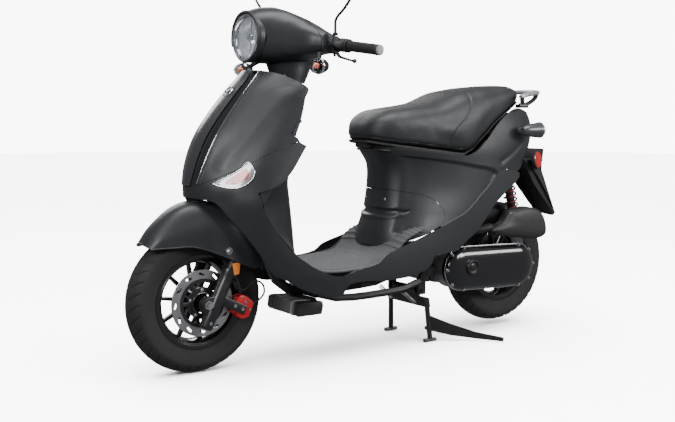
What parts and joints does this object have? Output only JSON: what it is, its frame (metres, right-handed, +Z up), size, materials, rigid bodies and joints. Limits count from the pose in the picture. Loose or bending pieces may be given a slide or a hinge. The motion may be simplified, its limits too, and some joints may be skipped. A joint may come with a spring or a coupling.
{
  "type": "moped scooter",
  "caption": "Step-through moped scooter with charcoal bodywork, a round headlight, cast wheels, a front disc brake, a rear swing unit and a long seat, on its centre stand.",
  "frame": {"origin": "on the ground, in the middle of the box that holds the whole scooter", "axes": "+X forward, +Y to the rider's left, +Z up; the scooter stands on its centre stand with its front tyre on the ground"},
  "size_m": [1.7312, 0.7728, 1.2525],
  "materials": {
    "body_matte": "soft matt charcoal paint",
    "gloss_black": "high gloss black",
    "black_plastic": "fine grained moulded plastic",
    "fork_black": "satin black paint",
    "lever_black": "satin black coating",
    "frame_black": "satin black powder coat",
    "muffler_black": "heat resistant matt black",
    "canister_grey": "moulded grey plastic",
    "mat_grey": "stippled floor mat",
    "tyre": "moulded tread rubber",
    "rubber": "ribbed grip rubber",
    "rim_black": "gloss black cast wheel",
    "disc_steel": "ground steel",
    "shock_steel": "polished rod",
    "spring_red": "dark red coating",
    "caliper_red": "bright red paint",
    "engine_alloy": "as cast",
    "rail_alloy": "satin silver paint",
    "seat_vinyl": "grained dark vinyl",
    "chrome": "mirror chrome",
    "clear_lens": "clear moulded lens",
    "red_lens": "clear red lens",
    "button_amber": "amber moulded button"
  },
  "bodies": {
    "frame": {"frame_main": "frame_black", "frame_rear": "frame_black", "front_panel": "body_matte", "front_stripe": "gloss_black", "leg_shield": "body_matte", "inner_shield": "body_matte", "eye_lens_left": "clear_lens", "eye_lens_right": "clear_lens", "floorboard": "mat_grey", "side_skirt_left": "body_matte", "side_skirt_right": "body_matte", "body_side_left": "body_matte", "body_side_right": "body_matte", "front_cover": "body_matte", "tail_light": "red_lens", "rear_signal_left": "black_plastic", "rear_signal_right": "black_plastic", "plate_bracket": "black_plastic", "grab_rail": "rail_alloy", "storage_bucket": "black_plastic", "fuel_tank": "black_plastic", "battery": "black_plastic", "evap_canister": "canister_grey"},
    "seat": {"seat_pan": "black_plastic", "seat_cushion": "seat_vinyl"},
    "stand": {"centre_stand": "frame_black"},
    "swing_unit": {"engine_case": "engine_alloy", "cvt_cover": "gloss_black", "cylinder": "engine_alloy", "air_box": "black_plastic", "muffler": "muffler_black"},
    "shock_body": {"shock_upper": "frame_black", "shock_spring": "spring_red"},
    "shock_rod": {"shock_lower": "shock_steel"},
    "rear_wheel": {"rear_tyre": "tyre", "rear_rim": "rim_black"},
    "steering": {"steering_stem": "frame_black", "fender": "body_matte", "handlebar": "frame_black", "nacelle_front": "body_matte", "nacelle_rear": "body_matte", "headlight_lens": "clear_lens", "headlight_bowl": "chrome", "bar_signal_left": "chrome", "bar_signal_right": "chrome", "left_grip": "rubber", "control_left": "black_plastic", "control_right": "black_plastic"},
    "throttle": {"throttle_grip": "rubber"},
    "lever_left": {"brake_lever_left": "lever_black"},
    "lever_right": {"brake_lever_right": "lever_black"},
    "left_mirror": {"mirror_left": "black_plastic"},
    "right_mirror": {"mirror_right": "black_plastic"},
    "horn": {"horn_button": "button_amber"},
    "start": {"start_button": "button_amber"},
    "fork": {"fork_sliders": "fork_black", "brake_caliper": "caliper_red"},
    "front_wheel": {"front_tyre": "tyre", "front_rim": "rim_black", "brake_disc": "disc_steel"}
  },
  "joints": [
    {"name": "steering", "type": "hinge", "parent": "frame", "child": "steering", "pos_m": [0.731, 0, 0], "axis": [-0.4462, 0, 0.8949], "range_deg": [-28, 28]},
    {"name": "fork_travel", "type": "slide", "parent": "steering", "child": "fork", "axis": [-0.4462, 0, 0.8949], "range_m": [0, 0.055], "stiffness_N_per_m": 9000, "springref_m": -0.06},
    {"name": "front_wheel_spin", "type": "hinge", "parent": "fork", "child": "front_wheel", "pos_m": [0.651, 0, 0.216], "axis": [0, 1, 0], "continuous": true},
    {"name": "throttle_twist", "type": "hinge", "parent": "steering", "child": "throttle", "pos_m": [0.222, -0.195, 0.9735], "axis": [-0.1654, -0.9774, -0.1316], "range_deg": [0, 70], "stiffness_Nm_per_rad": 0.6, "springref_deg": -20.05},
    {"name": "brake_lever_left_pull", "type": "hinge", "parent": "steering", "child": "lever_left", "pos_m": [0.264, 0.176, 0.955], "axis": [0.4462, 0.1901, 0.8745], "range_deg": [0, 12], "stiffness_Nm_per_rad": 6, "springref_deg": -6.88},
    {"name": "brake_lever_right_pull", "type": "hinge", "parent": "steering", "child": "lever_right", "pos_m": [0.264, -0.176, 0.955], "axis": [-0.4462, 0.1901, -0.8745], "range_deg": [0, 12], "stiffness_Nm_per_rad": 6, "springref_deg": -6.88},
    {"name": "mirror_left_turn", "type": "hinge", "parent": "steering", "child": "left_mirror", "pos_m": [0.262, 0.182, 1.003], "axis": [0, 0, 1], "range_deg": [-30, 30]},
    {"name": "mirror_right_turn", "type": "hinge", "parent": "steering", "child": "right_mirror", "pos_m": [0.262, -0.182, 1.003], "axis": [0, 0, 1], "range_deg": [-30, 30]},
    {"name": "horn_button_press", "type": "slide", "parent": "steering", "child": "horn", "axis": [1, 0, 0], "range_m": [0, 0.0025], "stiffness_N_per_m": 500, "springref_m": -0.002},
    {"name": "start_button_press", "type": "slide", "parent": "steering", "child": "start", "axis": [1, 0, 0], "range_m": [0, 0.0025], "stiffness_N_per_m": 500, "springref_m": -0.002},
    {"name": "seat_hinge", "type": "hinge", "parent": "frame", "child": "seat", "pos_m": [0.024, 0, 0.664], "axis": [0, 1, 0], "range_deg": [0, 75]},
    {"name": "centre_stand_fold", "type": "hinge", "parent": "frame", "child": "stand", "pos_m": [-0.161, 0, 0.172], "axis": [0, 1, 0], "range_deg": [0, 50]},
    {"name": "swing_arm", "type": "hinge", "parent": "frame", "child": "swing_unit", "pos_m": [-0.2, 0, 0.215], "axis": [0, 1, 0], "range_deg": [0, 8], "stiffness_Nm_per_rad": 3500, "springref_deg": -3.44},
    {"name": "rear_wheel_spin", "type": "hinge", "parent": "swing_unit", "child": "rear_wheel", "pos_m": [-0.564, 0, 0.231], "axis": [0, 1, 0], "continuous": true},
    {"name": "shock_top_pivot", "type": "hinge", "parent": "frame", "child": "shock_body", "pos_m": [-0.548, 0.08, 0.545], "axis": [0, 1, 0], "range_deg": [-3, 3]},
    {"name": "shock_travel", "type": "slide", "parent": "shock_body", "child": "shock_rod", "axis": [0.2395, 0, 0.9709], "range_m": [0, 0.062], "deforming": ["shock_spring"]}
  ],
  "couplings": [
    {"joint": "shock_top_pivot", "follows": "swing_arm", "ratio": -0.1836},
    {"joint": "shock_travel", "follows": "swing_arm", "m_per_rad": 0.4149}
  ]
}
